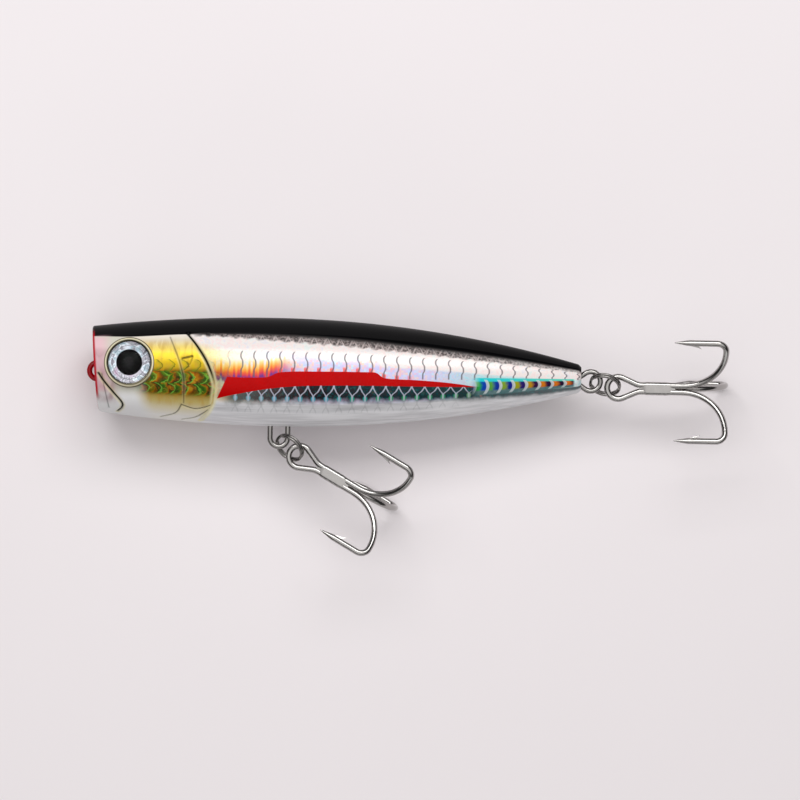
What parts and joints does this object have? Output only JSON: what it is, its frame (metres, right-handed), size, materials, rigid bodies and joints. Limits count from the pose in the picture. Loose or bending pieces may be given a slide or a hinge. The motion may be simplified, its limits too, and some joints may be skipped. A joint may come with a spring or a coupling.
{
  "type": "topwater popper",
  "caption": "Surface fishing lure: hollow fish-shaped body with a cupped mouth, wire line tie, split rings and hinged treble hooks on belly and tail.",
  "frame": {"origin": "on the table plane, under the middle of the whole lure as seen from above; the lure lies on its right flank, as a lure without feet does", "axes": "+X from nose to tail, +Y from belly to back, +Z out of the left flank (up); z = 0 is the table"},
  "size_m": [0.1186, 0.0435, 0.02],
  "materials": {
    "left_shell": "glossy painted, holographic scales",
    "right_shell": "glossy painted, holographic scales",
    "line_tie": "red enamel on wire",
    "belly_hanger": "bright wire",
    "tail_hanger": "bright wire",
    "eye_cup": "black",
    "eye_foil": "silver foil with a printed black pupil",
    "eye_lens": "clear dome",
    "split_ring": "nickel plated spring steel",
    "treble_double": "nickel plated hook wire",
    "treble_single": "nickel plated hook wire",
    "steel_ball": "bare steel"
  },
  "bodies": {
    "lure_body": {"left_shell": "left_shell", "right_shell": "right_shell", "line_tie": "line_tie", "belly_hanger": "belly_hanger", "tail_hanger": "tail_hanger", "left_eye_cup": "eye_cup", "left_eye_foil": "eye_foil", "left_eye_lens": "eye_lens", "right_eye_cup": "eye_cup", "right_eye_foil": "eye_foil", "right_eye_lens": "eye_lens", "tail_ball_front": "steel_ball", "tail_ball_rear": "steel_ball"},
    "rattle": {"rattle_ball": "steel_ball"},
    "belly_ring": {"belly_split_ring": "split_ring"},
    "tail_ring": {"tail_split_ring": "split_ring"},
    "belly_treble": {"belly_treble_double": "treble_double", "belly_treble_single": "treble_single"},
    "tail_treble": {"tail_treble_double": "treble_double", "tail_treble_single": "treble_single"}
  },
  "joints": [
    {"name": "rattle_slide", "type": "slide", "parent": "lure_body", "child": "rattle", "axis": [1, 0, 0], "range_m": [-0.0023, 0.0023]},
    {"name": "belly_ring_swing", "type": "hinge", "parent": "lure_body", "child": "belly_ring", "pos_m": [-0.0238, -0.0005, 0.01], "axis": [0, 0, 1], "range_deg": [-95, 8]},
    {"name": "belly_treble_swing", "type": "hinge", "parent": "belly_ring", "child": "belly_treble", "pos_m": [-0.01972, -0.00404, 0.01], "axis": [0, 0, 1], "range_deg": [-25, 15]},
    {"name": "tail_ring_swing", "type": "hinge", "parent": "lure_body", "child": "tail_ring", "pos_m": [0.0335, 0.01115, 0.01], "axis": [0, 0, 1], "range_deg": [-45, 45]},
    {"name": "tail_treble_swing", "type": "hinge", "parent": "tail_ring", "child": "tail_treble", "pos_m": [0.03878, 0.01003, 0.01], "axis": [0, 0, 1], "range_deg": [-45, 45]}
  ]
}
